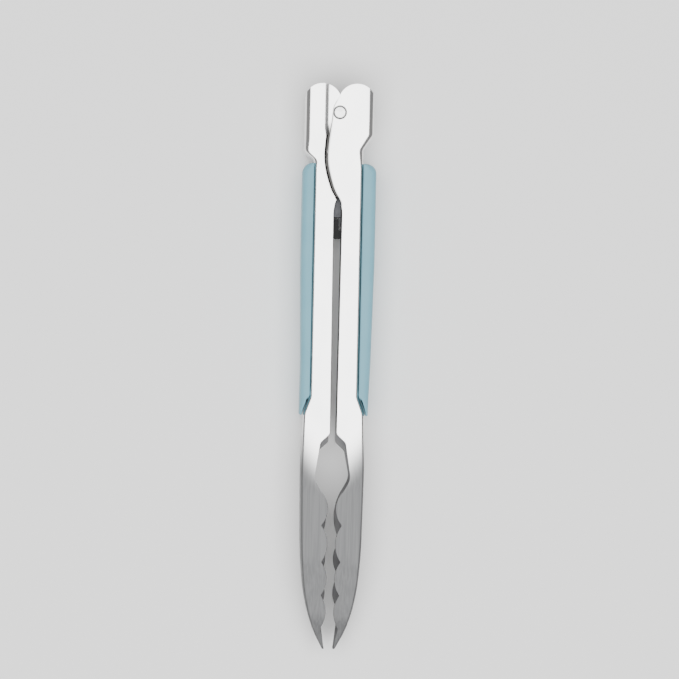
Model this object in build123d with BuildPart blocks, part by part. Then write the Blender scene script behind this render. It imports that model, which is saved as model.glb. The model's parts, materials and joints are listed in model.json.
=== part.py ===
from build123d import *
import os
from math import acos, atan2, cos, hypot, pi, sin, sqrt

os.makedirs("parts", exist_ok=True)

# Spring loaded kitchen tongs, lying on one side. Z runs along the hinge pin, Y towards the hinge end and
# X from the fixed grip to the sliding grip. The outlines below are measured from the hinge pin.

# Driving dimensions, in millimetres
overall_length = 305.0
hinge_end = 15.8          # from the pin to the hinge end
head_half = 14.5          # half the width of a head, along the pin
channel_half = 11.5       # half the width of a channel, along the pin
sheet = 0.9               # steel of the arms
ear_gap = 0.1             # between the nested ears
back_hinge = 18.6         # from the pin's line to the outer face of a back, beside the pin
back_grip = 13.1          # the same where the back is recessed for the grip
ramp_top = -153.0         # lower end of that recess
fixed_step = -25.7        # upper end of the recess in the arm with the fixed grip
slide_step = -20.0        # the same in the arm with the sliding grip
fixed_rise, slide_rise = 4.6, 8.0     # how far up the arm each recess takes to end
lobe_gap = 4.2            # between the lobes of the closed heads
ear_edge = -7.0           # where the ears of the inner arm are set inwards

grip_top = -27.4
grip_end = -162.8
core_end = -151.2
fixed_outer, slide_outer = 19.2, 20.4    # outer faces of the grips, from the hinge pin's line
grip_half = 11.8
skin = 1.9
slide_travel = 6.0        # of the sliding grip, towards the hinge
slide_gap = 0.15          # between the sliding pieces and the steel

pin_radius = 2.0
pin_clearance = 0.05
pin_head = (3.8, 2.0)     # radius and height
pin_tail = (3.2, 1.5)
washer_thickness = 0.8
wire = 1.6                # torsion spring
coil_radius = 6.0
coil_pitch = 1.75
coil_turns = 4

screw_radius = 1.25
screw_head = (2.6, 1.6)
fixed_depth, slide_depth = 2.8, 3.8     # how deep the screws go into the grips' cores
boss_radius = 2.5
catch_y = -51.0
upper_slot_y = -60.0
lower_slot_y = -128.0
fixed_screw_ys = (-74.0, -128.0)

pin_y = overall_length / 2 - hinge_end
tip_y = hinge_end - overall_length
side_plane = Plane(origin=(0, pin_y, head_half), x_dir=(1, 0, 0), z_dir=(0, 0, 1))
width_plane = Plane(origin=(0, pin_y, head_half), x_dir=(0, 1, 0), z_dir=(1, 0, 0))

LEFT, RIGHT = -1, 1


def facing(side, points):
    """Points given for the right arm, turned over for the left arm."""
    return [(side * x, y) for x, y in points]


def back_plane(side, x, y=0.0, z=0.0):
    """A plane facing out through an arm's back. Its own x runs towards the hinge end."""
    return Plane(origin=(side * x, pin_y + y, head_half + z), x_dir=(0, 1, 0), z_dir=(side, 0, 0))


def inner_plane(side, x, y=0.0, z=0.0):
    """The same place, facing into the channel."""
    return Plane(origin=(side * x, pin_y + y, head_half + z), x_dir=(0, 1, 0), z_dir=(-side, 0, 0))


def section_plane(y):
    """A plane across the arms, facing the hinge end. Its own y points down along the pin."""
    return Plane(origin=(0, pin_y + y, head_half), x_dir=(1, 0, 0), z_dir=(0, 1, 0))


def save(piece, label):
    piece.part.label = label
    export_step(piece.part, f"parts/{label}.step")


# ------------------------------------------------------------ outlines of the arms

def inset(points, bends, amount, turning):
    """A closed outline moved inwards by an amount, with bends that keep the wall even. turning is 1 for an
    outline drawn anticlockwise and -1 for clockwise."""
    moved, radii = [], []
    for before, at, after, bend in zip(points[-1:] + points[:-1], points, points[1:] + points[:1], bends):
        arriving = (Vector(*at) - Vector(*before)).normalized()
        leaving = (Vector(*after) - Vector(*at)).normalized()
        normals = [Vector(-turning * way.Y, turning * way.X) for way in (arriving, leaving)]
        shift = (normals[0] + normals[1]) * (amount / (1 + normals[0].dot(normals[1])))
        convex = turning * arriving.cross(leaving).Z > 0
        moved.append((at[0] + shift.X, at[1] + shift.Y))
        radii.append(0 if bend == 0 else bend - amount if convex else bend + amount)
    return moved, radii


def closed_sketch(plane, points, bends):
    with BuildSketch(plane) as sketch:
        with BuildLine():
            FilletPolyline(*points, radius=bends, close=True)
        make_face()
    return sketch.sketch


def back_sketch(side, step, rise, wall=0.0):
    """All that lies inside an arm's back: straight by the pin, recessed for the grip, then the nose."""
    back = facing(side, [
        (-40, 40), (back_hinge, 40), (back_hinge, step + rise), (back_grip, step), (back_grip, ramp_top),
        (16.4, ramp_top - 9), (17.0, -192), (16.26, -236.4), (14.65, -255.7), (12.12, -268.4),
        (8.55, -279.1), (2.1, -291.5), (-40, -291.5),
    ])
    bends = [0, 0, 3.5, 3.5, 5, 8, 300, 280, 100, 85, 60, 0, 0]
    return closed_sketch(side_plane, *inset(back, bends, wall, -side))


def width_sketch(wall=0.0):
    """An arm seen through its back: an even channel, then the wider head with its rounded point."""
    half = [
        (40, channel_half), (-168, channel_half), (-204, head_half), (-240, head_half), (-272, 9.8), (tip_y, 3.4),
    ]
    bends = [0, 90, 60, 60, 30, 3]
    other = [(y, -z) for y, z in reversed(half)]
    return closed_sketch(width_plane, *inset(half + other, bends + bends[::-1], wall, 1))


def flange_sketch(side, corner, notches):
    """A flange seen along the pin: domed ear, straight edge, neck opening, scallops and point."""
    lobe = lobe_gap / 2
    dome = facing(side, [(back_hinge + 1, 9.5), (9.6, hinge_end), (0, 9.2)])
    ear = facing(side, [
        (0, 9.2), (-3.3, 3.4), (-4.2, -4.1), (-5.8, -17.6), (-5.7, -28.3), (-2.4, -40.6), (1.5, -48), (2.4, -54),
    ])
    neck = facing(side, [(2.4, -54), (1.8, corner), (6.9, corner - 4.6), (9.6, -196), (7.2, -203.5)])
    crests = [neck[-1]] + facing(side, notches)
    point = (side * (lobe + 0.1), tip_y - 1)
    with BuildSketch(side_plane) as sketch:
        with BuildLine():
            ThreePointArc(*dome)
            Spline(*ear)
            FilletPolyline(*neck, radius=[2, 3, 6])
            for start, end in zip(crests, crests[1:]):
                ThreePointArc(start, (side * lobe, (start[1] + end[1]) / 2), end)
            Polyline(crests[-1], point, (side * 40, point[1]), (side * 40, dome[0][1]), dome[0])
        make_face()
    return sketch.sketch


def ear_sketch(height, grow=0.0):
    """The part of the inner arm's flanges that is set inwards to lie under the outer ears."""
    outline = [(ear_edge, 40), (ear_edge, -30), (-5.6, -37), (-3.2, -43.5), (-1.4, -49), (20, -49), (20, 40)]
    return closed_sketch(side_plane.offset(height), *inset(outline, [0] * len(outline), -grow, 1))


def trimmed_flanges(side):
    """Both flanges' outlines. The scallops of one lie opposite the lobes of the other."""
    upper = [(5.6, -221.7), (5.2, -241.4), (5.0, -259.4), (4.7, -277.6)]
    lower = [(5.4, -231.8), (5.2, -250.4), (5.0, -268.5)]
    with BuildPart() as flanges:
        extrude(flange_sketch(side, -172.7, upper), amount=head_half + 1)
        extrude(flange_sketch(side, -177.7, lower), amount=-head_half - 1)
    return flanges.part


def hollow(side, step, rise):
    """The space inside an arm, open towards the other arm and at the hinge end."""
    with BuildPart() as space:
        extrude(back_sketch(side, step, rise, sheet), amount=head_half + 1, both=True)
        extrude(width_sketch(sheet), amount=50, both=True, mode=Mode.INTERSECT)
    return space.part


# ------------------------------------------------------------ arms

ear_outer = channel_half - sheet - ear_gap      # outer face of the inner arm's ears, from the middle
ear_inner = ear_outer - sheet

with BuildPart() as inner_hollow:
    add(hollow(LEFT, fixed_step, fixed_rise))
    extrude(ear_sketch(ear_inner, sheet), amount=8, mode=Mode.SUBTRACT)
    extrude(ear_sketch(-ear_inner, sheet), amount=-8, mode=Mode.SUBTRACT)

with BuildPart() as inner_arm:
    extrude(back_sketch(LEFT, fixed_step, fixed_rise), amount=head_half + 1, both=True)
    extrude(width_sketch(), amount=50, both=True, mode=Mode.INTERSECT)
    add(inner_hollow.part, mode=Mode.SUBTRACT)
    add(trimmed_flanges(LEFT), mode=Mode.INTERSECT)
    extrude(ear_sketch(ear_outer), amount=8, mode=Mode.SUBTRACT)
    extrude(ear_sketch(-ear_outer), amount=-8, mode=Mode.SUBTRACT)
    with Locations(side_plane):
        Hole(pin_radius + pin_clearance)
    for y in fixed_screw_ys:
        with Locations(back_plane(LEFT, back_grip, y)):
            Hole(screw_radius + 0.1, depth=2 * sheet)
    for z in (-7.8, 7.8):
        with Locations(back_plane(LEFT, back_grip, catch_y, z)):
            Hole(screw_radius, depth=2 * sheet)
save(inner_arm, "inner_arm")

with BuildPart() as outer_arm:
    extrude(back_sketch(RIGHT, slide_step, slide_rise), amount=head_half + 1, both=True)
    extrude(width_sketch(), amount=50, both=True, mode=Mode.INTERSECT)
    add(hollow(RIGHT, slide_step, slide_rise), mode=Mode.SUBTRACT)
    add(trimmed_flanges(RIGHT), mode=Mode.INTERSECT)
    with Locations(side_plane):
        Hole(pin_radius)
    for y in (upper_slot_y, lower_slot_y):
        with BuildSketch(back_plane(RIGHT, back_grip, y + slide_travel / 2)):
            SlotOverall(slide_travel + 2 * boss_radius + 0.4, 2 * boss_radius + 0.4)
        extrude(amount=-2 * sheet, mode=Mode.SUBTRACT)
    with Locations(back_plane(RIGHT, back_grip, -104)):
        Hole(screw_radius, depth=2 * sheet)
save(outer_arm, "outer_arm")


# ------------------------------------------------------------ hinge

UP = (Align.CENTER, Align.CENTER, Align.MIN)
DOWN = (Align.CENTER, Align.CENTER, Align.MAX)

with BuildPart() as hinge_rivet:
    with Locations(side_plane.offset(channel_half)):
        Cylinder(*pin_head, align=UP)
        Cylinder(pin_radius, 2 * channel_half + washer_thickness, align=DOWN)
    with Locations(side_plane.offset(-channel_half - washer_thickness)):
        Cylinder(*pin_tail, align=DOWN)
    ends = hinge_rivet.faces().sort_by(Axis.Z)
    chamfer(ends[-1].edges() + ends[0].edges(), 0.5)
save(hinge_rivet, "hinge_rivet")

with BuildPart() as rivet_washer:
    with Locations(side_plane.offset(-channel_half)):
        Cylinder(4.6, washer_thickness, align=DOWN)
        Hole(pin_radius + 0.1)
save(rivet_washer, "rivet_washer")

with BuildPart() as hinge_sleeve:
    with Locations(side_plane):
        Cylinder(3.0, 2 * (ear_inner - 0.1))
        Hole(pin_radius + 0.1)
save(hinge_sleeve, "hinge_sleeve")

# The wire leaves the coil in line with its leg, and the end of the leg lies against the arm's back.
leg_reach = back_grip - sheet - wire / 2 - 0.05
leg_drop = -36.6
leg_angle = atan2(leg_drop, -leg_reach) + 2 * pi - acos(coil_radius / hypot(leg_reach, leg_drop))
leg_length = sqrt(leg_reach ** 2 + leg_drop ** 2 - coil_radius ** 2)
coil_height = coil_pitch * (coil_turns + (2 * leg_angle - pi) / (2 * pi))

with BuildPart() as spring_on_its_axis:
    with BuildLine() as spring_line:
        coil = Helix(coil_pitch, coil_height, coil_radius)
        first_leg = Line(coil @ 0 - (coil % 0) * leg_length, coil @ 0)
        Line(coil @ 1, coil @ 1 + (coil % 1) * leg_length)
    with BuildSketch(Plane(origin=first_leg @ 0, z_dir=first_leg % 0)):
        Circle(wire / 2)
    sweep(path=spring_line.wires()[0])

coil_plane = Plane(
    origin=(0, pin_y, head_half + coil_height / 2), x_dir=(cos(leg_angle), sin(leg_angle), 0), z_dir=(0, 0, -1),
)
with BuildPart() as torsion_spring:
    add(spring_on_its_axis.part.moved(coil_plane.location))
save(torsion_spring, "torsion_spring")


# ------------------------------------------------------------ grips

def grip_outline(side, inner, cover=0.0):
    """A grip seen along the pin, on the arm's back. Its lower end follows the back's ramp."""
    face = fixed_outer if side == LEFT else slide_outer
    outer = [(face, grip_top), (face, -80), (face - 1.1, -135)]
    outline = [(inner, grip_top - cover)] + [(x - cover, y - cover * (y == grip_top)) for x, y in outer]
    if cover:
        outline += [(face - 1.5 - cover, core_end), (inner, core_end)]
        return closed_sketch(side_plane, facing(side, outline), [0, 3, 400, 200, 0, 0])
    outline += [(18.3, grip_end), (17.4, grip_end), (inner, core_end - 0.8)]
    return closed_sketch(side_plane, facing(side, outline), [0, 5, 400, 200, 0, 0, 4])


def grip_core(side, inner):
    """The hard core, without its screw holes."""
    with BuildPart() as core:
        extrude(grip_outline(side, inner, skin), amount=grip_half - skin, both=True)
    return core.part


def grip_skin(side, inner):
    """The soft skin over the core, open where the grip lies on the arm."""
    with BuildPart() as cover:
        extrude(grip_outline(side, inner), amount=grip_half, both=True)
        rims = cover.edges().filter_by(lambda edge: abs(edge.center().Z - head_half) > grip_half - 0.01)
        fillet(rims.filter_by(lambda edge: abs(edge.center().X) > 17.0 and edge.center().Y > pin_y - 160), 3.4)
        add(grip_core(side, inner), mode=Mode.SUBTRACT)
    return cover.part


def screw(side, seat, y, tip):
    """A pan head screw driven outwards. Its head stands on the seat, inside the channel."""
    with BuildPart() as fastener:
        with Locations(back_plane(side, seat, y)):
            Cylinder(*screw_head, align=DOWN)
            Cylinder(screw_radius, tip - seat, align=UP)
        head = fastener.faces().sort_by(Axis.X)[0 if side == RIGHT else -1]
        fillet(head.edges(), 0.6)
        with BuildSketch(Plane(origin=head.center(), x_dir=(0, 1, 0), z_dir=head.normal_at())):
            Rectangle(2.4, 0.6)
            Rectangle(0.6, 2.4)
        extrude(amount=-0.8, mode=Mode.SUBTRACT)
    return fastener.part


def washer(side, seat, y):
    with BuildPart() as ring:
        with Locations(back_plane(side, seat, y)):
            Cylinder(4.0, washer_thickness, align=DOWN)
            Hole(screw_radius + 0.1)
    return ring.part


channel_floor = back_grip - sheet
slide_inner = back_grip + slide_gap
boss_end = channel_floor - slide_gap

with BuildPart() as fixed_grip_core:
    add(grip_core(LEFT, back_grip))
    for y in fixed_screw_ys:
        with Locations(inner_plane(LEFT, back_grip, y)):
            Hole(screw_radius, depth=fixed_depth)
save(fixed_grip_core, "fixed_grip_core")

with BuildPart() as fixed_grip_skin:
    add(grip_skin(LEFT, back_grip))
save(fixed_grip_skin, "fixed_grip_skin")

for y, place in zip(fixed_screw_ys, ("upper", "lower")):
    with BuildPart() as fixed_washer:
        add(washer(LEFT, channel_floor, y))
    save(fixed_washer, f"fixed_grip_washer_{place}")
    with BuildPart() as fixed_screw:
        add(screw(LEFT, channel_floor - washer_thickness, y, back_grip + fixed_depth))
    save(fixed_screw, f"fixed_grip_screw_{place}")

with BuildPart() as slide_grip_core:
    add(grip_core(RIGHT, slide_inner))
    for y in (upper_slot_y, lower_slot_y):
        with Locations(back_plane(RIGHT, slide_inner, y)):
            Cylinder(boss_radius, slide_inner - boss_end, align=DOWN)
        with Locations(inner_plane(RIGHT, boss_end, y)):
            Hole(screw_radius, depth=slide_depth)
save(slide_grip_core, "slide_grip_core")

with BuildPart() as slide_grip_skin:
    add(grip_skin(RIGHT, slide_inner))
save(slide_grip_skin, "slide_grip_skin")


# ------------------------------------------------------------ lock

catch_half = 5.2           # half the width of the catch strap
catch_front = 2.6          # its front plate, from the middle of the gap
catch_length = 10.0
slider_thickness = 2.3
tail_thickness = 1.5
hook_half = 3.5
groove_ys = (-86.0, -92.0)
leaf = 0.4                 # detent spring
leaf_y = -104.0

with BuildPart() as lock_catch:
    with BuildSketch(section_plane(catch_y)):
        with Locations((-channel_floor, 0)):
            Rectangle(sheet, 2 * 10.2, align=(Align.MIN, Align.CENTER))
            Rectangle(channel_floor + catch_front, 2 * catch_half, align=(Align.MIN, Align.CENTER))
            Rectangle(
                channel_floor + catch_front - sheet, 2 * (catch_half - sheet),
                align=(Align.MIN, Align.CENTER), mode=Mode.SUBTRACT,
            )
    extrude(amount=catch_length / 2, both=True)
    corners = lock_catch.edges().filter_by(Axis.Y).sort_by(Axis.X)[-2:]
    fillet(corners, 0.8)
    for z in (-7.8, 7.8):
        with Locations(inner_plane(LEFT, channel_floor - sheet, catch_y, z)):
            Hole(screw_radius)
save(lock_catch, "lock_catch")


def flush_rivet(side, seat, y, z=0.0):
    """A rivet with a low head inside the channel and its tail level with the outside of the back."""
    with BuildPart() as rivet:
        with Locations(back_plane(side, seat, y, z)):
            Cylinder(2.2, 0.9, align=DOWN)
            Cylinder(screw_radius, back_grip - seat, align=UP)
        head = rivet.faces().sort_by(Axis.X)[0 if side == RIGHT else -1]
        fillet(head.edges(), 0.5)
    return rivet.part


with BuildPart() as catch_rivets:
    for z in (-7.8, 7.8):
        add(flush_rivet(LEFT, channel_floor - sheet, catch_y, z))
save(catch_rivets, "catch_rivets")

with BuildPart() as lock_slider:
    slider_face = boss_end - slider_thickness
    tail_face = boss_end - tail_thickness
    hook_top, hook_bottom, beak_top = -63.0, -67.5, -57.3
    with BuildSketch(side_plane):
        with BuildLine():
            FilletPolyline(
                (boss_end, -53.5), (slider_face, -53.5), (slider_face, hook_top), (0.8, hook_top),
                (0.8, beak_top), (-1.4, beak_top), (-2.6, beak_top - 2.2), (-2.6, hook_bottom),
                (slider_face, hook_bottom), (slider_face, -78), (boss_end, -78),
                radius=[0, 0, 0.6, 0.4, 0.3, 0.8, 0.8, 2.2, 2, 0, 0], close=True,
            )
        make_face()
    extrude(amount=hook_half, both=True)
    for width, top, bottom, face in ((14, -53.5, -78, slider_face), (8, -78, -95.5, tail_face)):
        with BuildSketch(back_plane(RIGHT, boss_end, (top + bottom) / 2)):
            Rectangle(top - bottom, width)
        extrude(amount=face - boss_end)
    for y in groove_ys:
        with BuildSketch(side_plane):
            with BuildLine():
                Polyline(
                    (tail_face - 0.1, y + 1.3), (tail_face + 0.6, y), (tail_face - 0.1, y - 1.3), close=True,
                )
            make_face()
        extrude(amount=6, both=True, mode=Mode.SUBTRACT)
    with Locations(inner_plane(RIGHT, slider_face, upper_slot_y)):
        Hole(screw_radius + 0.1)
save(lock_slider, "lock_slider")

with BuildPart() as slide_screw_upper:
    add(screw(RIGHT, slider_face, upper_slot_y, boss_end + slide_depth))
save(slide_screw_upper, "slide_screw_upper")

with BuildPart() as slide_washer:
    add(washer(RIGHT, boss_end, lower_slot_y))
save(slide_washer, "slide_washer")

with BuildPart() as slide_screw_lower:
    add(screw(RIGHT, boss_end - washer_thickness, lower_slot_y, boss_end + slide_depth))
save(slide_screw_lower, "slide_screw_lower")

with BuildPart() as detent_spring:
    flat = tail_face - 0.05 - leaf
    nub = groove_ys[0]
    face = [
        (channel_floor - leaf, leaf_y - 4), (channel_floor - leaf, leaf_y + 3.5), (flat, -97), (flat, nub - 1.2),
        (flat + 0.4, nub), (flat, nub + 1.2), (flat - 0.2, -83),
    ]
    with BuildSketch(side_plane):
        with BuildLine():
            Polyline(*face, *[(x + leaf, y) for x, y in reversed(face)], close=True)
        make_face()
    extrude(amount=2.5, both=True)
    with Locations(inner_plane(RIGHT, channel_floor - leaf, leaf_y)):
        Hole(screw_radius, depth=2 * leaf)
save(detent_spring, "detent_spring")

with BuildPart() as detent_rivet:
    add(flush_rivet(RIGHT, channel_floor - leaf, leaf_y))
save(detent_rivet, "detent_rivet")
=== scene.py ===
import json
from math import acos, atan2, cos, hypot, pi, radians, sin, sqrt

import bmesh
import bpy
import numpy as np
from mathutils import Matrix, Vector


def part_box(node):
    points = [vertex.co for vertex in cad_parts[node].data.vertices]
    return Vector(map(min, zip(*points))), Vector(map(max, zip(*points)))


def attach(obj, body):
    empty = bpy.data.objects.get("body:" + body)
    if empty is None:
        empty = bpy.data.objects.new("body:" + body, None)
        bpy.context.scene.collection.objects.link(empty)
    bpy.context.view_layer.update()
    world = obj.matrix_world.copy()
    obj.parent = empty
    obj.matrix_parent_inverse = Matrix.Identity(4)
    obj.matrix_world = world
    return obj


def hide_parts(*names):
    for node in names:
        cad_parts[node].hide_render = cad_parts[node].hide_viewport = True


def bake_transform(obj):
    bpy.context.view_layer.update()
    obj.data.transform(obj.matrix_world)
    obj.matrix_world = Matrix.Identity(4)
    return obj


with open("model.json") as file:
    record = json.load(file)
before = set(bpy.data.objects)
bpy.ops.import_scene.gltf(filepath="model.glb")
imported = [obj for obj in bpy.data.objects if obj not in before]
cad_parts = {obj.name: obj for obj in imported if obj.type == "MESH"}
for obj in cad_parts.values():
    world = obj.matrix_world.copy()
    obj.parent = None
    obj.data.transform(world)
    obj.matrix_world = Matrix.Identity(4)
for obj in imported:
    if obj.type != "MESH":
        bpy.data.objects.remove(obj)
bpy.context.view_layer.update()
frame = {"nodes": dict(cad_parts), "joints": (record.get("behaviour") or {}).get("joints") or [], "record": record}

# Spring loaded kitchen tongs lying on one side. Shapes are worked out in millimetres from the hinge pin:
# x towards the sliding grip, y towards the hinge end, z along the pin from the middle of the channels.

MM = 0.001
PIN = np.array(next(joint for joint in frame["joints"] if joint["name"] == "arm_hinge")["pos_m"])
LEFT, RIGHT = -1, 1


def size_of(node):
    """A CAD node's lowest and highest corners, in millimetres from the pin."""
    low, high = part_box(node)
    return (np.array(low) - PIN) / MM, (np.array(high) - PIN) / MM


ARM_LOW, ARM_HIGH = size_of("outer_arm")
GRIP_HIGH = size_of("fixed_grip_skin")[1]
HINGE_END, TIP = ARM_HIGH[1], ARM_LOW[1]
HEAD_HALF = ARM_HIGH[2]
BACK_HINGE = ARM_HIGH[0]
BACK_GRIP = -GRIP_HIGH[0]
CHANNEL_HALF = size_of("rivet_washer")[1][2] * -1
SHEET = 0.9                 # thickness of the arms
RAMP_TOP = -153.0           # where an arm's back starts its run out to the head
FIXED_STEP, SLIDE_STEP = -25.7, -20.0       # where each back has stepped in above its grip
FIXED_RISE, SLIDE_RISE = 4.6, 8.0           # length of those two steps along y
LOBE = 2.1                  # from the middle of the gap to a head's lobes
EAR_FOOT = -8.0             # above this the flanges fan out into domed ears
DOME_RADIUS = 10.1
EAR_STEP = 1.0              # how far the inner arm's ears are pressed in
STEP_LINE, STEP_REACH = 7.0, 2.35           # the pressed step beside the domes: its x and half its width
GROOVE_OFF, GROOVE_REACH = 1.4, 0.5         # the tight step below them, off the outer ear's edge
PLAIN_REACH = 1.5                           # the same columns' spread below the ears, where nothing is pressed
PIN_HOLE, SCREW_HOLE, RIVET_HOLE, SLOT_HOLE = 2.05, 1.35, 1.25, 2.7     # radii
FLANGE_COLUMNS = 10, 8, 10                  # of an arm's grid: before, across and after the pressed step

GRIP_TOP, GRIP_END, CORE_END = -27.4, -162.8, -151.2
GRIP_FOOT = CORE_END - 0.8                  # where a grip's skin ends on the arm's back
GRIP_HALF, SKIN, LIP = GRIP_HIGH[2], 1.9, 0.7
FIXED_OUTER, SLIDE_OUTER = 19.2, 20.4       # outer faces of the grips
FIXED_SCREWS, SLIDE_SCREWS = (-74.0, -128.0), (-60.0, -128.0)
TRAVEL, SLIDE_GAP = 6.0, 0.15               # of the sliding grip, and its play on the arm
CATCH, CATCH_RIVET, LEAF = -51.0, 7.8, -104.0       # the catch's rivets, and the detent spring's

WIRE, COIL, COIL_PITCH, COIL_TURNS = 1.6, 6.0, 1.75, 4
LEG_DROP = -36.6            # how far down the spring's legs reach


# ---------------------------------------------------------------- shapes

def smooth_step(low, high, value):
    """0 below low, 1 above high, and an even S between them."""
    share = np.clip((value - low) / (high - low), 0, 1)
    return share * share * (3 - 2 * share)


def rounded(points, bends, spacing=0.4):
    """A path of straight runs whose corners are arcs of the given radii. Each arc touches both of its
    runs at radius x tan(half the turn) from the corner, and is sampled by its angle."""
    points = [np.array(point, float) for point in points]
    path = [points[0][None]]
    for before, at, after, bend in zip(points, points[1:], points[2:], bends):
        arriving = (at - before) / np.linalg.norm(at - before)
        leaving = (after - at) / np.linalg.norm(after - at)
        cross = arriving[0] * leaving[1] - arriving[1] * leaving[0]
        turn = atan2(cross, arriving @ leaving)
        if bend == 0:
            path.append(at[None])
            continue
        side = np.sign(turn)
        first = at - arriving * bend * abs(np.tan(turn / 2))
        centre = first + side * bend * np.array([-arriving[1], arriving[0]])
        steps = max(3, int(abs(turn) * bend / spacing) + 2)
        angles = np.linspace(0, turn, steps)[:, None]
        spoke = first - centre
        across = np.array([-spoke[1], spoke[0]])
        path.append(centre + spoke * np.cos(angles) + across * np.sin(angles))
    path.append(points[-1][None])
    return np.concatenate(path)


def through(points, steps=12):
    """A smooth curve through a few points: cubic spans whose slope at a point is the slope between its two
    neighbours."""
    points = np.array(points, float)
    ends = np.vstack([2 * points[0] - points[1], points, 2 * points[-1] - points[-2]])
    share = np.linspace(0, 1, steps, endpoint=False)[:, None]
    spans = []
    for a, b, c, d in zip(ends, ends[1:], ends[2:], ends[3:]):
        spans.append(0.5 * (2 * b + (c - a) * share + (2 * a - 5 * b + 4 * c - d) * share ** 2
                            + (3 * b - a - 3 * c + d) * share ** 3))
    return np.vstack(spans + [points[-1:]])


def bulge(start, middle, end, steps=24):
    """The arc of a circle through three points, sampled evenly between its ends."""
    start, middle, end = (np.array(point, float) for point in (start, middle, end))
    a, b = middle - start, end - start
    scale = 2 * (a[0] * b[1] - a[1] * b[0])
    centre = start + np.array([b[1] * (a @ a) - a[1] * (b @ b), a[0] * (b @ b) - b[0] * (a @ a)]) / scale
    first, last = (atan2(*(point - centre)[::-1]) for point in (start, end))
    sweep = (last - first + pi) % (2 * pi) - pi
    angles = first + np.linspace(0, sweep, steps)
    radius = np.linalg.norm(start - centre)
    return centre + radius * np.stack([np.cos(angles), np.sin(angles)], 1)


def along_y(path):
    """A path's x as a function of y. The path runs one way along y."""
    path = path[np.argsort(path[:, 1])]
    return lambda y: np.interp(y, path[:, 1], path[:, 0])


def back_line(step, rise):
    """Outer face of an arm's back: x at each y."""
    points = [
        (BACK_HINGE, HINGE_END + 5), (BACK_HINGE, step + rise), (BACK_GRIP, step), (BACK_GRIP, RAMP_TOP),
        (16.4, RAMP_TOP - 9), (17.0, -192), (16.26, -236.4), (14.65, -255.7), (12.12, -268.4),
        (8.55, -279.1), (2.1, -291.5),
    ]
    return along_y(rounded(points, [3.5, 3.5, 5, 8, 300, 280, 100, 85, 60]))


def half_width(y):
    """Half the width of an arm along the pin: an even channel, then the wider head and its point."""
    points = [
        (CHANNEL_HALF, HINGE_END + 5), (CHANNEL_HALF, -168), (HEAD_HALF, -204), (HEAD_HALF, -240),
        (9.8, -272), (3.4, TIP), (0, TIP),
    ]
    return along_y(rounded(points, [90, 60, 60, 30, 3]))(y)


def flange_edge(corner, notches):
    """A flange's free edge below its ear: x at each y. Arcs between the notches bulge to the lobes."""
    neck = [(2.4, -54), (1.8, corner), (6.9, corner - 4.6), (9.8, -197), (6.0, -203.6)]
    ear = through([
        (0, 9.2), (-3.3, 3.4), (-4.2, -4.1), (-5.8, -17.6), (-5.7, -28.3), (-2.4, -40.6), (1.5, -48),
        neck[0],
    ])
    crests = [neck[-1]] + notches
    lobes = [bulge(a, (LOBE, (a[1] + b[1]) / 2), b) for a, b in zip(crests, crests[1:])]
    edge = along_y(np.vstack([ear, rounded(neck, [2, 3, 9])] + lobes + [[(LOBE + 0.1, TIP - 1)]]))
    reach = np.linspace(-0.5, 0.5, 9)
    return lambda y: np.mean([edge(np.asarray(y) + shift) for shift in reach], axis=0)


upper_edge = flange_edge(-172.7, [(5.7, -221.7), (5.3, -241.4), (5.1, -259.4), (4.8, -277.6)])
lower_edge = flange_edge(-177.7, [(5.5, -231.8), (5.3, -250.4), (5.1, -268.5)])


def dome(x):
    """Top of a flange at the hinge end: a circle's arc over its width."""
    return HINGE_END - DOME_RADIUS + np.sqrt(DOME_RADIUS ** 2 - (x - BACK_HINGE / 2) ** 2)


def bend_size(y):
    """How far the quarter ellipse between flange and back reaches along x and along z: widest beside the
    hinge, tight along the channel and the head."""
    places = [-289, -283, -270, -255, -204, -160, -30, -14]
    along_x = np.interp(y, places, [0.7, 1.0, 1.2, 1.3, 1.3, 1.9, 1.9, 4.2])
    along_z = np.interp(y, places, [0.9, 1.3, 1.7, 2.0, 2.0, 1.6, 1.6, 3.0])
    return along_x, along_z


def press_line(y):
    """Where the inner arm's flanges are pressed in to lie under the outer ears, as x at each y, and half
    the width of the step. It is soft beside the domes, and tight along the outer ear's edge below them."""
    beside_ear = -upper_edge(y) + GROOVE_OFF
    below = 1 - smooth_step(-14, -6, y)
    return STEP_LINE + (beside_ear - STEP_LINE) * below, STEP_REACH + (GROOVE_REACH - STEP_REACH) * below


def column_shares(line, width, edge, corner):
    """Shares of the way from a flange's edge to its bend, close together across the step."""
    middle = ((line - edge) / (corner - edge))[:, None]
    reach = (width / (corner - edge))[:, None]
    low = np.clip(middle - reach, 0.06, 0.6)
    high = np.clip(middle + reach, low + 0.06, 0.92)
    before, across = (np.linspace(0, 1, count, endpoint=False) for count in FLANGE_COLUMNS[:2])
    after = np.linspace(0, 1, FLANGE_COLUMNS[2])
    return np.hstack([low * before, low + (high - low) * across, high + (1 - high) * after])


def grid_faces(rows, columns, round_and_round):
    """Four-sided faces between neighbours in a grid of numbered points. Columns may close into a ring."""
    number = np.arange(rows * columns).reshape(rows, columns)
    if round_and_round:
        number = np.hstack([number, number[:, :1]])
    a, b, c, d = number[:-1, :-1], number[:-1, 1:], number[1:, 1:], number[1:, :-1]
    return np.stack([a, b, c, d], -1).reshape(-1, 4)


def tightened(grid, amount):
    """A grid whose border points are drawn in towards their neighbours by an amount."""
    grid = grid.copy()
    for border, neighbour in ((np.s_[0], np.s_[1]), (np.s_[-1], np.s_[-2]),
                              (np.s_[:, 0], np.s_[:, 1]), (np.s_[:, -1], np.s_[:, -2])):
        way = grid[neighbour] - grid[border]
        length = np.maximum(np.linalg.norm(way, axis=-1, keepdims=True), 1e-6)
        grid[border] += way / length * np.minimum(amount, 0.4 * length)
    return grid


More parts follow.
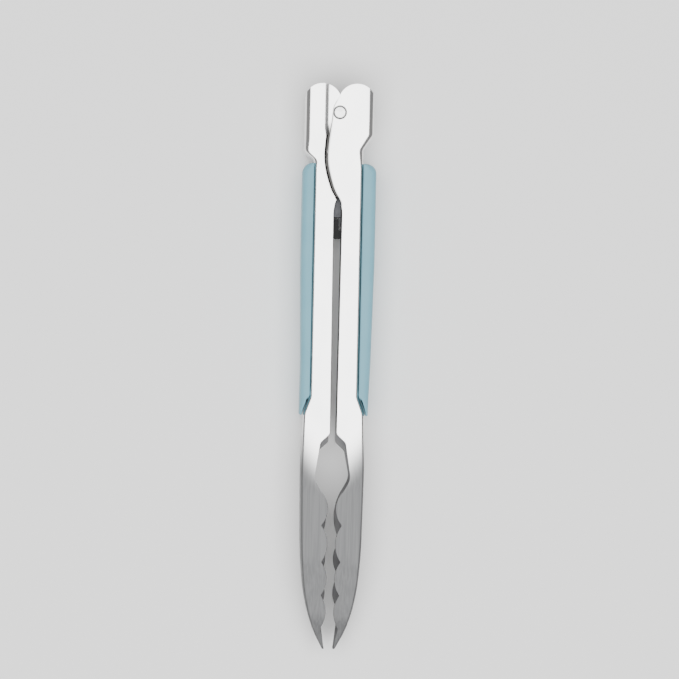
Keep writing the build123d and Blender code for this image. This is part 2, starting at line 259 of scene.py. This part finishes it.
def border_of(grid):
    """The points round a grid's edge, in order."""
    return np.concatenate([grid[0, :-1], grid[:-1, -1], grid[-1, :0:-1], grid[:0:-1, 0]])


def closed_sheet(name, outer, inner, softness=0.24):
    """A sheet from two grids of points, its outer and inner faces. The rim between them is flat, with a
    small bevel along both of its edges."""
    rows, columns = outer.shape[:2]
    rim_outer, rim_inner = border_of(outer), border_of(inner)
    outer, inner = tightened(outer, softness), tightened(inner, softness)
    share = softness / np.maximum(np.linalg.norm(rim_inner - rim_outer, axis=1, keepdims=True), 1e-3)
    share = np.minimum(share, 0.4)
    rim = np.stack([
        border_of(outer), rim_outer + (rim_inner - rim_outer) * share,
        rim_inner + (rim_outer - rim_inner) * share, border_of(inner),
    ])
    face = grid_faces(rows, columns, False)
    count = rows * columns
    band = grid_faces(4, rim.shape[1], True)
    points = np.concatenate([outer.reshape(-1, 3), inner.reshape(-1, 3), rim.reshape(-1, 3)])
    faces = np.concatenate([face, face[:, ::-1] + count, band + 2 * count])
    return solid(name, points * MM + PIN, faces)


def rings(name, loops):
    """A solid from rows of closed loops whose first and last loops have shrunk to a line or a point."""
    points = loops.reshape(-1, 3) * MM + PIN
    return solid(name, points, grid_faces(loops.shape[0], loops.shape[1], True))


def revolved(name, profile, steps=96):
    """A profile of (radius, height) carried round the pin: x = radius x cos a, y = radius x sin a,
    z = height."""
    radius, height = np.array(profile, float).T[:, :, None]
    angle = np.linspace(0, 2 * pi, steps, endpoint=False)
    flat = np.stack([radius * np.cos(angle), radius * np.sin(angle), height + 0 * angle], -1)
    return rings(name, flat)


def tube(name, path, radius, steps=20):
    """A round wire along a path: at each point a circle across the path, centre + radius x (across x
    cos a + up x sin a). Its ends are rounded off by circles that shrink to a point."""
    way = np.gradient(path, axis=0)
    way /= np.linalg.norm(way, axis=1, keepdims=True)
    across = np.cross([0, 0, 1], way)
    across /= np.linalg.norm(across, axis=1, keepdims=True)
    up = np.cross(way, across)
    angle = np.linspace(0, 2 * pi, steps, endpoint=False)[:, None]
    circle = across[:, None] * np.cos(angle) + up[:, None] * np.sin(angle)
    loops = path[:, None] + circle * radius
    tip = np.array([0, 0.6, 0.9])[:, None, None]
    first = path[0] + circle[:1] * radius * tip
    last = path[-1] + circle[-1:] * radius * tip[::-1]
    return rings(name, np.concatenate([first, loops, last]))


def prism(name, outline, low, high):
    """A knife for cutting: an outline in x and y, between two heights."""
    outline = np.array(outline, float)
    ring = np.stack([np.column_stack([outline, np.full(len(outline), level)]) for level in (low, high)])
    shape = bmesh.new()
    ends = [[shape.verts.new(point * MM + PIN) for point in level] for level in ring]
    for level in ends:
        shape.faces.new(level)
    for a, b, c, d in zip(ends[0], ends[0][1:] + ends[0][:1], ends[1][1:] + ends[1][:1], ends[1]):
        shape.faces.new((a, b, c, d))
    bmesh.ops.recalc_face_normals(shape, faces=shape.faces)
    mesh = bpy.data.meshes.new(name)
    shape.to_mesh(mesh)
    shape.free()
    knife = bpy.data.objects.new(name, mesh)
    bpy.context.scene.collection.objects.link(knife)
    return knife


def round_knife(name, start, end, radius, stretch=0.0, steps=48):
    """A knife for a round hole or slot from one point to another. A slot is stretched along y."""
    start, end = np.array(start, float), np.array(end, float)
    axis = (end - start) / np.linalg.norm(end - start)
    over = np.array([0.0, 1.0, 0.0])
    side = np.cross(axis, over)
    angle = np.linspace(0, 2 * pi, steps, endpoint=False)[:, None]
    along = np.cos(angle) * radius + np.sign(np.cos(angle)) * stretch / 2
    circle = over * along + side * np.sin(angle) * radius
    loops = np.stack([start + 0 * circle, start + circle, end + circle, end + 0 * circle])
    return rings(name, loops)


def solid(name, points, faces):
    """A mesh piece from points in metres. Faces that share a place are joined and turned outwards."""
    mesh = bpy.data.meshes.new(name)
    mesh.from_pydata(points.tolist(), [], faces.tolist())
    shape = bmesh.new()
    shape.from_mesh(mesh)
    bmesh.ops.remove_doubles(shape, verts=shape.verts, dist=2e-6)
    bmesh.ops.dissolve_degenerate(shape, edges=shape.edges, dist=1e-6)
    bmesh.ops.recalc_face_normals(shape, faces=shape.faces)
    shape.to_mesh(mesh)
    shape.free()
    piece = bpy.data.objects.new(name, mesh)
    bpy.context.scene.collection.objects.link(piece)
    return piece


def apply_modifiers(piece):
    """The piece's mesh as its modifiers leave it."""
    graph = bpy.context.evaluated_depsgraph_get()
    finished = bpy.data.meshes.new_from_object(piece.evaluated_get(graph))
    piece.modifiers.clear()
    piece.data = finished
    return piece


def cut(piece, *tools):
    """Takes each tool's solid out of the piece and throws the tool away."""
    for tool in tools:
        knife = piece.modifiers.new("cut", "BOOLEAN")
        knife.object = tool
        knife.operation = "DIFFERENCE"
        knife.solver = "MANIFOLD"
    apply_modifiers(piece)
    for tool in tools:
        bpy.data.objects.remove(tool)
    return piece


def smooth(piece, angle=32):
    """Smooth shading, apart from edges sharper than the angle."""
    piece.data.shade_smooth()
    piece.data.set_sharp_from_angle(angle=radians(angle))
    return piece


def normals_of(grid):
    """Unit normals of a grid of points, from the cross product of its two directions."""
    down, over = np.gradient(grid, axis=0), np.gradient(grid, axis=1)
    normal = np.cross(down, over)
    return normal / np.maximum(np.linalg.norm(normal, axis=2, keepdims=True), 1e-9)


def arm_rows():
    """Where the rows of an arm's grid lie along y, from the tip to the foot of the ears. They are close
    together along the lobes, the neck and the ears."""
    ends = [TIP + 0.04, -286, -204, -170, -148, -56]
    counts = [14, 180, 60, 24, 20]
    parts = [np.linspace(low, high, count, endpoint=False) for low, high, count in zip(ends, ends[1:], counts)]
    return np.concatenate(parts + [np.linspace(ends[-1], EAR_FOOT, 64)])


def channel(rows, back):
    """An arm below its ears: x and z at each row and column, and x of the bend's inner edge at each row.
    Columns run round the U: the upper flange from its free edge, a quarter ellipse (corner + bend x sin a,
    half width - drop x (1 - cos a)), the back, a quarter ellipse and the lower flange."""
    wide = half_width(rows)
    bend, drop = bend_size(rows)
    crests = np.interp(rows, [TIP, -280, -270, -210, -200, -188, -170], [2.4, 4.9, 6.0, 6.0, 9.8, 9.8, 7.0])
    bend = np.minimum(bend, 0.8 * (back - crests))
    drop = np.minimum(drop, 0.8 * wide)
    corner = back - bend
    line, reach = press_line(rows)
    in_ears = smooth_step(-53, -49, rows)
    line = STEP_LINE + (line - STEP_LINE) * in_ears
    reach = PLAIN_REACH + (reach - PLAIN_REACH) * in_ears

    def flange(edge):
        """x at each row and column of a flange whose free edge is given."""
        return edge[:, None] + (corner - edge)[:, None] * column_shares(line, reach, edge, corner)

    upper, lower = flange(upper_edge(rows)), flange(lower_edge(rows))[:, ::-1]
    quarter = np.linspace(0, pi / 2, 13)[1:-1]
    corner_x = corner[:, None] + bend[:, None] * np.sin(quarter)
    corner_z = (wide - drop)[:, None] + drop[:, None] * np.cos(quarter)
    web_z = (wide - drop)[:, None] * np.linspace(1, -1, 19)
    web_x = np.repeat(back[:, None], web_z.shape[1], 1)
    flat = np.repeat(wide[:, None], upper.shape[1], 1)
    x = np.hstack([upper, corner_x, web_x, corner_x[:, ::-1], lower])
    z = np.hstack([flat, corner_z, web_z, -corner_z[:, ::-1], -flat])
    return x, z, corner


def ears(foot_x, bend_x):
    """x and y of the rows that rise from the foot of the ears to the dome: y = foot + share x (dome - foot).
    A flange's rows run straight from its edge to the bend."""
    share = np.linspace(0, 1, 30)[1:, None]
    x = np.repeat(foot_x[None], len(share), 0)
    y = EAR_FOOT + (dome(foot_x) - EAR_FOOT) * share
    edge_x = upper_edge(EAR_FOOT + (dome(0.0) - EAR_FOOT) * share)
    ones = np.ones(len(share))
    spread = column_shares(STEP_LINE * ones, STEP_REACH * ones, edge_x[:, 0], bend_x * ones)
    flange_x = (1 - spread) * edge_x + spread * bend_x
    flange_y = EAR_FOOT + (dome(bend_x * spread) - EAR_FOOT) * share
    count = sum(FLANGE_COLUMNS)
    x[:, :count], x[:, -count:] = flange_x, flange_x[:, ::-1]
    y[:, :count], y[:, -count:] = flange_y, flange_y[:, ::-1]
    return x, y


def pressed_in(x, y, z, depth):
    """z with both flanges moved in by depth x an even S of (press line - x) / half width of the step."""
    line, reach = press_line(y)
    step = depth * smooth_step(-1, 1, (line - x) / reach) * smooth_step(-53, -50, y)
    columns, count = np.arange(x.shape[1]), sum(FLANGE_COLUMNS)
    on_flange = (columns < count) | (columns >= x.shape[1] - count)
    return z - np.where(on_flange, np.sign(z) * step, 0)


def arm_surface(side, step, rise, inset_depth):
    """Outer face of an arm as a grid: rows from the tip to the hinge end, columns round the U."""
    rows = arm_rows()
    x, z, corner = channel(rows, back_line(step, rise)(rows))
    y = np.repeat(rows[:, None], x.shape[1], 1)
    ear_x, ear_y = ears(x[-1], corner[-1])
    x, y = np.vstack([x, ear_x]), np.vstack([y, ear_y])
    z = np.vstack([z, np.repeat(z[-1:], len(ear_x), 0)])
    if inset_depth:
        z = pressed_in(x, y, z, inset_depth)
    return np.stack([side * x, y, z], -1)


def steel_arm(name, side, step, rise, inset_depth=0.0):
    """An arm's outer face, and an inner face set in from it along the normals by the sheet's thickness,
    which thins out over the last 14 mm to the tip."""
    outer = arm_surface(side, step, rise, inset_depth)
    inward = -normals_of(outer)
    row, back = outer.shape[0] // 2, outer.shape[1] // 2
    if inward[row, back, 0] * side > 0:
        inward = -inward
    depth = SHEET * np.interp(outer[..., 1], [TIP, TIP + 14], [0.55, 1.0])[..., None]
    inner = outer + inward * depth
    inner[..., 1] = np.maximum(inner[..., 1], TIP + 0.1)
    return closed_sheet(name, outer, inner)


def arm_holes(side, holes, slots):
    """Knives for the pin, and for the screws, rivets and slots in an arm's back."""
    knives = [round_knife("pin_knife", (0, 0, -20), (0, 0, 20), PIN_HOLE)]
    for y, z, radius in holes:
        knives.append(round_knife("hole_knife", (side * 10, y, z), (side * 16, y, z), radius))
    for y in slots:
        knives.append(round_knife("slot_knife", (side * 10, y, 0), (side * 16, y, 0), SLOT_HOLE, TRAVEL))
    return knives


def vectors_of(layer, attribute):
    """The vectors that a mesh's vertices or vertex normals hold, one row for each."""
    values = np.empty(len(layer) * 3, np.float32)
    layer.foreach_get(attribute, values)
    return values.reshape(-1, 3)


def store(piece, name, values):
    """Keeps a number for each point of a piece, for its finish to read."""
    attribute = piece.data.attributes.new(name, "FLOAT", "POINT")
    attribute.data.foreach_set("value", values.astype(np.float32))


def mark_faces(piece, side):
    """Stores a mask of painted shade, darkest along the arms' joins, and whether each point is on the inner face.
    The painted shade covers the strip beside the outer ear in the left arm, the ear's own edge in the right arm,
    and the strip of both arms next to a grip. On an inner face the normal turns towards the channel's middle."""
    x, y, z = ((vectors_of(piece.data.vertices, "co") - PIN) / MM).T
    past_edge = upper_edge(y) - x
    if side == LEFT:
        beside_ear = smooth_step(2.4, 0.8, past_edge) * smooth_step(-1.2, -0.3, past_edge)
        beside_ear *= smooth_step(-51, -48, y) * (1 - smooth_step(-12, -3, y))
    else:
        beside_ear = np.exp(-(past_edge / 0.5) ** 4)
        beside_ear *= 0.8 * smooth_step(-51, -48, y) * (1 - smooth_step(5, 9, y))
    beside_ear *= np.abs(z) > CHANNEL_HALF - 1.3
    beside_grip = smooth_step(BACK_GRIP - 0.75, BACK_GRIP - 0.3, side * x)
    beside_grip *= 0.7 * smooth_step(CORE_END, CORE_END + 3, y)
    beside_grip *= 1 - smooth_step(GRIP_TOP - 3, GRIP_TOP, y)
    # The dark strips stored here are painted shade along the ear edges and beside the grips.
    store(piece, "painted_shade", np.maximum(beside_ear, beside_grip))
    out = np.stack([x - side * 6, 0 * y, z], 1)
    facing = (vectors_of(piece.data.vertex_normals, "vector") * out).sum(1) / np.linalg.norm(out, axis=1)
    store(piece, "inside", smooth_step(0.1, -0.1, facing))
    return piece


def inner_arm():
    """The left arm, pressed in beside the outer ears, with holes for its grip's screws and the catch."""
    piece = steel_arm("arm_with_fixed_grip", LEFT, FIXED_STEP, FIXED_RISE, inset_depth=EAR_STEP)
    holes = [(y, 0, SCREW_HOLE) for y in FIXED_SCREWS]
    holes += [(CATCH, z, RIVET_HOLE) for z in (-CATCH_RIVET, CATCH_RIVET)]
    return mark_faces(smooth(cut(piece, *arm_holes(LEFT, holes, []))), LEFT)


def outer_arm():
    """The right arm, with a hole for the detent spring and slots in which its grip's screws slide."""
    piece = steel_arm("arm_with_sliding_grip", RIGHT, SLIDE_STEP, SLIDE_RISE)
    slots = [y + TRAVEL / 2 for y in SLIDE_SCREWS]
    return mark_faces(smooth(cut(piece, *arm_holes(RIGHT, [(LEAF, 0, RIVET_HOLE)], slots))), RIGHT)


def hinge_rivet():
    """The rivet's two heads, each with a soft chamfer, and its shank."""
    shank, head, rise = 2.0, 3.8, 2.0
    tail, washer = 3.2, 0.8
    top, bottom = CHANNEL_HALF, -CHANNEL_HALF - washer
    crown = rounded([
        (0, top + rise + 0.02), (head - 0.9, top + rise - 0.05), (head, top + rise - 0.9), (head, top),
    ], [0.8, 0.35], 0.1)
    foot = rounded([
        (tail, bottom), (tail, bottom - 1.0), (tail - 0.6, bottom - 1.5), (0, bottom - 1.5),
    ], [0.3, 0.3], 0.1)
    profile = np.vstack([crown, [(shank, top), (shank, bottom)], foot])
    return smooth(revolved("hinge_rivet_with_heads", profile))


def torsion_spring():
    """A coil about the pin with a straight leg at each end, each leg leaving along the coil's tangent."""
    reach = BACK_GRIP - SHEET - WIRE / 2 - 0.05
    start = atan2(LEG_DROP, -reach) + 2 * pi - acos(COIL / hypot(reach, LEG_DROP))
    leg = sqrt(reach ** 2 + LEG_DROP ** 2 - COIL ** 2)
    sweep = COIL_TURNS * 2 * pi + (2 * start - pi)
    height = COIL_PITCH * sweep / (2 * pi)
    share = np.linspace(0, 1, 520)
    angle = start - sweep * share
    level = height / 2 - height * share
    coil = np.stack([COIL * np.cos(angle), COIL * np.sin(angle), level], 1)
    first, last = coil[1] - coil[0], coil[-1] - coil[-2]
    first, last = first / np.linalg.norm(first), last / np.linalg.norm(last)
    run = np.linspace(0, leg, 60)[1:, None]
    path = np.vstack([(coil[0] - first * run)[::-1], coil, coil[-1] + last * run])
    piece = tube("coiled_spring", path, WIRE / 2)
    piece.data.shade_smooth()
    return piece


def grip_outline(inner, face):
    """A grip's outline from the arm's back at its top, along its outer face and round its end: places in x and
    y, the way outwards at each, their distance along it, and its whole length."""
    outline = rounded([
        (inner, GRIP_TOP), (face, GRIP_TOP), (face, -80), (face - 1.1, -135), (18.3, GRIP_END),
        (17.4, GRIP_END), (inner, GRIP_FOOT),
    ], [5, 400, 200, 0.6, 0.5], 0.25)
    parts = np.concatenate([[0], np.cumsum(np.linalg.norm(np.diff(outline, axis=0), axis=1))])
    spots = np.concatenate([
        np.linspace(0, 14, 60, endpoint=False), np.linspace(14, parts[-1] - 20, 90, endpoint=False),
        np.linspace(parts[-1] - 20, parts[-1], 70),
    ])
    x, y = (np.interp(spots, parts, outline[:, axis]) for axis in (0, 1))
    way = np.gradient(np.stack([x, y], 1), axis=0)
    way /= np.linalg.norm(way, axis=1, keepdims=True)
    return x, y, np.stack([-way[:, 1], way[:, 0]], 1), spots, parts[-1]


def grip_loops(inner, face):
    """A grip as loops along its outline. A loop runs down one side wall, over a quarter circle, across the
    crown and down the other side to the face on the arm: crown point - normal x rounding x (1 - cos a),
    and sideways half width - rounding x (1 - sin a). Beside the arm the wall curves in to a thin lip."""
    x, y, normal, spots, length = grip_outline(inner, face)
    at_end = smooth_step(length - 22, length - 12, spots)
    bend = 0.25 + 3.15 * smooth_step(0, 4, spots) * (1 - 0.8 * at_end)
    bend = np.minimum(bend, 0.8 * np.maximum(np.abs(x - inner), 0.05))[:, None]
    past_end = np.arange(len(y)) > np.argmin(y)
    floor_y = np.where(past_end, GRIP_FOOT, np.clip(y, GRIP_FOOT, GRIP_TOP))[:, None]

    quarter = np.linspace(0, pi / 2, 9)
    inward = bend * (1 - np.cos(quarter))
    drop_x, drop_y = x[:, None] - normal[:, :1] * inward, y[:, None] - normal[:, 1:] * inward
    wide = GRIP_HALF - bend * (1 - np.sin(quarter))
    wall = np.linspace(0, 1, 10)[1:]
    wall_x = drop_x[:, -1:] + (inner - drop_x[:, -1:]) * wall
    wall_y = drop_y[:, -1:] + (floor_y - drop_y[:, -1:]) * wall
    tucked = np.clip(1 - (wall_x - inner) / LIP, 0, 1)
    level = GRIP_HALF - LIP * (1 - np.sqrt(1 - tucked ** 2)) * smooth_step(0.5, 3, drop_x[:, -1:] - inner)

    side_x, side_y = np.hstack([drop_x, wall_x]), np.hstack([drop_y, wall_y])
    side_z = np.hstack([wide, level])
    crown = np.linspace(-1, 1, 12)[1:-1]
    under = np.linspace(1, -1, 8)[1:-1]
    crown_x, under_x = np.repeat(x[:, None], len(crown), 1), np.full((len(x), len(under)), inner)
    crown_y, under_y = np.repeat(y[:, None], len(crown), 1), np.repeat(floor_y, len(under), 1)
    return np.stack([
        np.hstack([crown_x, side_x, under_x, side_x[:, ::-1]]),
        np.hstack([crown_y, side_y, under_y, side_y[:, ::-1]]),
        np.hstack([wide[:, :1] * crown, side_z, level[:, -1:] * under, -side_z[:, ::-1]]),
    ], -1)


def grip_skin(name, side, inner, face):
    """A grip's skin: the whole grip less the pocket that its core fills."""
    pocket = [
        (inner - 1, GRIP_TOP - SKIN), (face - SKIN, GRIP_TOP - SKIN), (face - SKIN, -80),
        (face - 1.1 - SKIN, -135), (face - 1.5 - SKIN, CORE_END), (inner - 1, CORE_END),
    ]
    skin = rings(name, grip_loops(inner, face) * (side, 1, 1))
    knife = prism("core_knife", [(side * x, y) for x, y in pocket], -GRIP_HALF + SKIN, GRIP_HALF - SKIN)
    return smooth(cut(skin, knife), 40)


# ---------------------------------------------------------------- finishes

class Value:
    """An output of a finish's nodes. Arithmetic on it adds Math nodes."""

    def __init__(self, finish, socket):
        self.finish = finish
        self.socket = socket

    def math(self, operation, first, second):
        """One Math node."""
        return self.finish.node("ShaderNodeMath", {"operation": operation}, {0: first, 1: second})

    def __add__(self, other):
        return self.math("ADD", self, other)

    __radd__ = __add__

    def __sub__(self, other):
        return self.math("SUBTRACT", self, other)

    def __rsub__(self, other):
        return self.math("SUBTRACT", other, self)

    def __mul__(self, other):
        return self.math("MULTIPLY", self, other)

    __rmul__ = __mul__

    def __truediv__(self, other):
        return self.math("DIVIDE", self, other)

    def __rtruediv__(self, other):
        return self.math("DIVIDE", other, self)

    def between(self, low, high):
        """0 below low and 1 above high, with an even S between them."""
        settings = {"interpolation_type": "SMOOTHSTEP"}
        inputs = {"Value": self, "From Min": low, "From Max": high}
        return self.finish.node("ShaderNodeMapRange", settings, inputs)


class Finish:
    """A material on the Principled shader. The named sockets are set to plain numbers or colours."""

    def __init__(self, name, **sockets):
        self.material = bpy.data.materials.new(name)
        self.material.use_nodes = True
        self.tree = self.material.node_tree
        self.shader = self.tree.nodes["Principled BSDF"]
        for socket, value in sockets.items():
            self.shader.inputs[socket.replace("_", " ")].default_value = value

    def node(self, kind, settings, inputs, output=0):
        """Any node: its settings first, then the values or links of its sockets."""
        node = self.tree.nodes.new(kind)
        for setting, value in settings.items():
            setattr(node, setting, value)
        for socket, value in inputs.items():
            if isinstance(value, Value):
                self.tree.links.new(value.socket, node.inputs[socket])
            else:
                node.inputs[socket].default_value = value
        return Value(self, node.outputs[output])

    def feed(self, socket, value):
        """Links a value to one of the shader's sockets."""
        self.tree.links.new(value.socket, self.shader.inputs[socket])

    def place(self):
        """Object coordinates."""
        return self.node("ShaderNodeTexCoord", {}, {}, "Object")

    def along(self, axis):
        """Distance along one axis of the object, in millimetres from the pin."""
        parts = self.node("ShaderNodeSeparateXYZ", {}, {0: self.place()}, "XYZ".index(axis))
        return (parts - float(PIN["XYZ".index(axis)])) / MM

    def noise(self, x, y, z, detail=2.0, roughness=0.5):
        """Noise with cells of the given sizes in millimetres."""
        scale = [1 / (size * MM) for size in (x, y, z)]
        stretched = self.node("ShaderNodeMapping", {}, {"Vector": self.place(), "Scale": scale})
        inputs = {"Vector": stretched, "Scale": 1.0, "Detail": detail, "Roughness": roughness}
        return self.node("ShaderNodeTexNoise", {}, inputs)

    def mix(self, share, first, second):
        """From one colour to another. A colour is three plain numbers or another mix."""
        first, second = (part + (1,) if isinstance(part, tuple) else part for part in (first, second))
        return self.node("ShaderNodeMix", {"data_type": "RGBA"}, {0: share, 6: first, 7: second}, 2)

    def bump(self, height, depth):
        """Raised by height x depth millimetres."""
        inputs = {"Height": height * (depth * MM), "Strength": 1.0, "Distance": 1.0}
        self.feed("Normal", self.node("ShaderNodeBump", {}, inputs))


def arm_steel():
    """Bright polished handles, heads rubbed to a satin along their length, and a duller inner face whose dark
    colour is partly painted shade inside the channel. Near-black painted shade runs along the ear edges and beside
    the grips.
    """
    finish = Finish("arm_steel", Metallic=1.0)
    across = finish.along("X")
    head = 1 - (finish.along("Y") - across * across * 0.05).between(-208.0, -176.0)
    fine = finish.noise(0.12, 9, 0.12, 3.0)
    broad = finish.noise(0.9, 40, 0.9, 4.0, 0.6)
    smudge = finish.noise(14, 22, 14, 3.0)
    satin = finish.mix(broad.between(0.3, 0.7), (0.160, 0.162, 0.164), (0.215, 0.217, 0.219))
    bright = finish.mix(smudge.between(0.35, 0.75), (0.86, 0.855, 0.845), (0.80, 0.80, 0.80))
    # Painted shade: this mask marks where a near-black colour stands in for shade along the ear edges and beside
    # the grips.
    painted_shade = finish.node("ShaderNodeAttribute", {"attribute_name": "painted_shade"}, {}, "Fac")
    inside = finish.node("ShaderNodeAttribute", {"attribute_name": "inside"}, {}, "Fac")
    # Inner face: partly real, a duller unpolished steel, and partly painted shade, its colour kept dark to darken
    # the channel's interior.
    dull = finish.mix(smudge.between(0.35, 0.75), (0.15, 0.15, 0.153), (0.20, 0.20, 0.203))
    steel = finish.mix(inside, finish.mix(head, bright, satin), dull)
    # Painted shade: near-black laid over the steel by that mask.
    finish.feed("Base Color", finish.mix(painted_shade * (0.92 + fine * 0.2), steel, (0.03, 0.029, 0.028)))
    polish = 0.10 + smudge.between(0.4, 0.8) * 0.05 + fine * 0.05
    rubbed = 0.58 + broad * 0.10 + fine * 0.05
    outside = polish + (rubbed - polish) * head
    finish.feed("Roughness", outside + (0.5 + broad * 0.1 - outside) * inside)
    finish.bump(fine * (0.25 + head * 0.75) + broad * head * 0.5, 0.006)
    return finish.material


def drawn_steel(name, colour, rough, scratch=0.004):
    """Small steel parts: a darker or brighter metal with fine scratches and stains."""
    finish = Finish(name, Metallic=1.0)
    stain = finish.noise(3, 3, 3, 4.0, 0.6)
    fine = finish.noise(0.15, 0.6, 0.15, 3.0)
    dull = tuple(part * 0.72 for part in colour)
    finish.feed("Base Color", finish.mix(stain.between(0.35, 0.75), colour, dull))
    finish.feed("Roughness", rough + stain * 0.1 + fine * 0.06)
    finish.bump(fine, scratch)
    return finish.material


def soft_skin():
    """Soft rubbery skin with a fine even grain, slightly paler where it has been rubbed."""
    finish = Finish("soft_skin", Sheen_Weight=0.12, Sheen_Roughness=0.5, Specular_IOR_Level=0.4)
    grain = finish.noise(0.35, 0.35, 0.35, 2.0, 0.6)
    cloud = finish.noise(9, 16, 9, 3.0)
    colour = finish.mix(cloud.between(0.3, 0.75), (0.135, 0.350, 0.435), (0.165, 0.385, 0.470))
    finish.feed("Base Color", finish.mix(grain.between(0.3, 0.8), colour, (0.175, 0.395, 0.475)))
    finish.feed("Roughness", 0.52 + grain * 0.12 + cloud * 0.08)
    finish.bump(grain + cloud * 0.6, 0.03)
    return finish.material


def moulded(name, dark, light, rough):
    """Hard moulded plastic: a faint flow pattern and a fine spark texture."""
    finish = Finish(name, Specular_IOR_Level=0.3)
    flow = finish.noise(5, 9, 5, 3.0)
    spark = finish.noise(0.3, 0.3, 0.3, 2.0)
    finish.feed("Base Color", finish.mix(flow.between(0.3, 0.75), dark, light))
    finish.feed("Roughness", rough + spark * 0.12 + flow * 0.06)
    finish.bump(spark, 0.02)
    return finish.material


# ---------------------------------------------------------------- stage

def floor():
    """A plain pale floor under the object."""
    bpy.ops.mesh.primitive_plane_add(size=6, location=(0, 0, 0))
    plane = bpy.context.object
    plane.name = "floor"
    finish = Finish("pale_floor", Base_Color=(0.93, 0.93, 0.925, 1), Roughness=0.75)
    plane.data.materials.append(finish.material)


def soft_light(name, place, size, power):
    """A large square light that points at the object's origin."""
    light = bpy.data.lights.new(name, "AREA")
    light.shape = "SQUARE"
    light.size = size
    light.energy = power
    lamp = bpy.data.objects.new(name, light)
    lamp.location = place
    lamp.rotation_euler = (-Vector(place)).to_track_quat("-Z", "Y").to_euler()
    bpy.context.scene.collection.objects.link(lamp)


def surroundings(grey):
    """An even grey on all sides."""
    world = bpy.data.worlds.new("studio")
    world.use_nodes = True
    world.node_tree.nodes["Background"].inputs["Color"].default_value = (grey, grey, grey * 1.01, 1)
    bpy.context.scene.world = world


def camera(target, distance, width, lean, turn):
    """Looks down on the object from a little to the left, with the hinge end leaning to the right."""
    back = Vector((-sin(radians(turn)), 0, cos(radians(turn))))
    right = Vector((cos(radians(lean)), sin(radians(lean)), 0))
    right = (right - back * right.dot(back)).normalized()
    up = back.cross(right)
    lens = bpy.data.cameras.new("camera")
    lens.lens = lens.sensor_width * distance / width
    eye = bpy.data.objects.new("camera", lens)
    eye.matrix_world = Matrix((right, up, back)).transposed().to_4x4()
    eye.location = Vector(target) + back * distance
    bpy.context.scene.collection.objects.link(eye)
    bpy.context.scene.camera = eye


# ---------------------------------------------------------------- the object

FINISHES = {
    "arm_steel": arm_steel(),
    "bright_steel": drawn_steel("bright_steel", (0.74, 0.74, 0.73), 0.16),
    "spring_steel": drawn_steel("spring_steel", (0.52, 0.51, 0.50), 0.24),
    "dark_steel": drawn_steel("dark_steel", (0.055, 0.056, 0.060), 0.36),
    "soft_skin": soft_skin(),
    "hard_plastic": moulded("hard_plastic", (0.20, 0.31, 0.36), (0.235, 0.345, 0.395), 0.38),
    "black_nylon": moulded("black_nylon", (0.006, 0.006, 0.007), (0.011, 0.011, 0.012), 0.5),
}


def finished(piece, slot, *nodes):
    """Gives a piece its finish and hides the CAD nodes that it stands for."""
    piece.data.materials.clear()
    piece.data.materials.append(FINISHES[slot])
    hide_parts(*nodes)
    return piece


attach(finished(inner_arm(), "arm_steel", "inner_arm"), "inner_arm")
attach(finished(outer_arm(), "arm_steel", "outer_arm"), "outer_arm")
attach(finished(hinge_rivet(), "bright_steel", "hinge_rivet"), "outer_arm")
coil = finished(torsion_spring(), "spring_steel", "torsion_spring")
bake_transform(coil)
fixed_skin = grip_skin("fixed_skin", LEFT, BACK_GRIP, FIXED_OUTER)
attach(finished(fixed_skin, "soft_skin", "fixed_grip_skin"), "inner_arm")
sliding_skin = grip_skin("sliding_skin", RIGHT, BACK_GRIP + SLIDE_GAP, SLIDE_OUTER)
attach(finished(sliding_skin, "soft_skin", "slide_grip_skin"), "slide_grip")

for part in frame["record"]["subparts"]:
    node = frame["nodes"][part["node"]]
    if not node.hide_render:
        node.data.materials.clear()
        node.data.materials.append(FINISHES[part["material_slot"]])

floor()
soft_light("overhead", (-0.02, -0.2, 2.6), 3.0, 155)
surroundings(0.3)
camera((0.0023, 0.0148, 0.026), 1.8, 0.3646, 1.2, 2.2)
